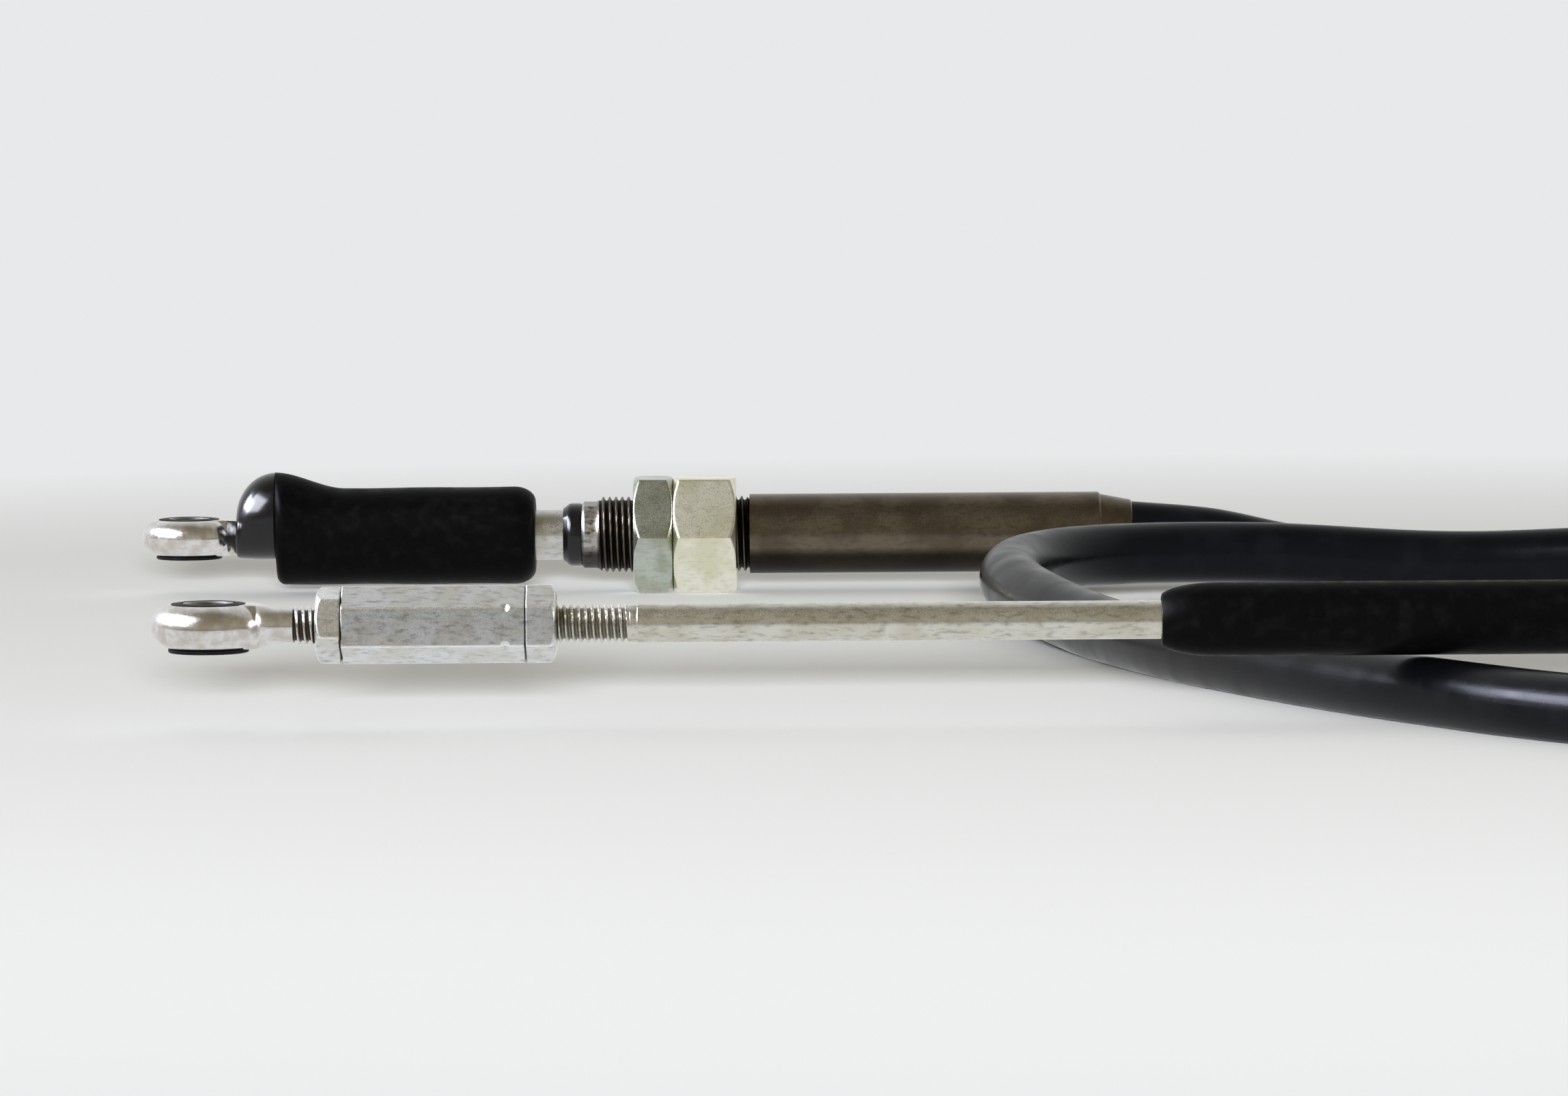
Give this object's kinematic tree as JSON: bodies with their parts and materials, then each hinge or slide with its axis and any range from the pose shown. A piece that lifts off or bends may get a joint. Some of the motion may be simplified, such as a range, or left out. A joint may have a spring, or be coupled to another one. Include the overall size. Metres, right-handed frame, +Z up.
{
  "type": "push-pull control cable",
  "caption": "Push-pull control cable with bushed rod eyes, an adjustable hex coupling, threaded bulkhead hubs and a looped black conduit.",
  "frame": {"origin": "centre of the front eye's bore, on the front rod's axis", "axes": "+X along the front rod from the eye towards the conduit, +Y towards the rear end, which lies parallel, +Z up along the eye's bore"},
  "size_m": [0.6012, 0.491, 0.0357],
  "materials": {
    "zinc_steel": "zinc-plated, satin",
    "tube_steel": "bright drawn",
    "dull_steel": "dull plated",
    "black_rubber": "matt",
    "bush_rubber": "matt",
    "conduit_plastic": "semi-gloss",
    "core_wire": "plain wire"
  },
  "bodies": {
    "housing": {"conduit": "conduit_plastic", "front_sleeve": "black_rubber", "front_wiper": "bush_rubber", "front_guide_tube": "tube_steel", "front_hub": "dull_steel", "front_ferrule": "tube_steel", "hub_seals": "bush_rubber", "hub_jam_nuts": "zinc_steel", "hub_full_nuts": "zinc_steel", "rear_ferrule": "dull_steel", "rear_hub": "dull_steel", "rear_guide_tube": "tube_steel", "rear_wiper": "bush_rubber", "rear_boot": "black_rubber"},
    "front_core_end": {"front_core": "core_wire"},
    "front_rod_end": {"front_rod": "zinc_steel", "front_rod_nut": "zinc_steel", "front_coupling": "zinc_steel", "front_eye_nut": "zinc_steel", "front_eye": "zinc_steel", "front_bush": "bush_rubber", "front_pin_sleeve": "zinc_steel"},
    "rear_core_end": {"rear_core": "core_wire"},
    "rear_rod_end": {"rear_rod": "zinc_steel", "rear_bush": "bush_rubber", "rear_pin_sleeve": "zinc_steel"}
  },
  "joints": [
    {"name": "front_slide", "type": "slide", "parent": "housing", "child": "front_core_end", "axis": [1, 0, 0], "range_m": [0, 0.075]},
    {"name": "front_turn", "type": "hinge", "parent": "front_core_end", "child": "front_rod_end", "pos_m": [0, 0, 0], "axis": [1, 0, 0], "range_deg": [-90, 90]},
    {"name": "rear_slide", "type": "slide", "parent": "housing", "child": "rear_core_end", "axis": [-1, 0, 0], "range_m": [0, 0.075]},
    {"name": "rear_turn", "type": "hinge", "parent": "rear_core_end", "child": "rear_rod_end", "pos_m": [-0.032, 0.372, -0.0071], "axis": [1, 0, 0], "range_deg": [-90, 90]}
  ],
  "couplings": [
    {"joint": "rear_slide", "follows": "front_slide", "ratio": 1}
  ]
}
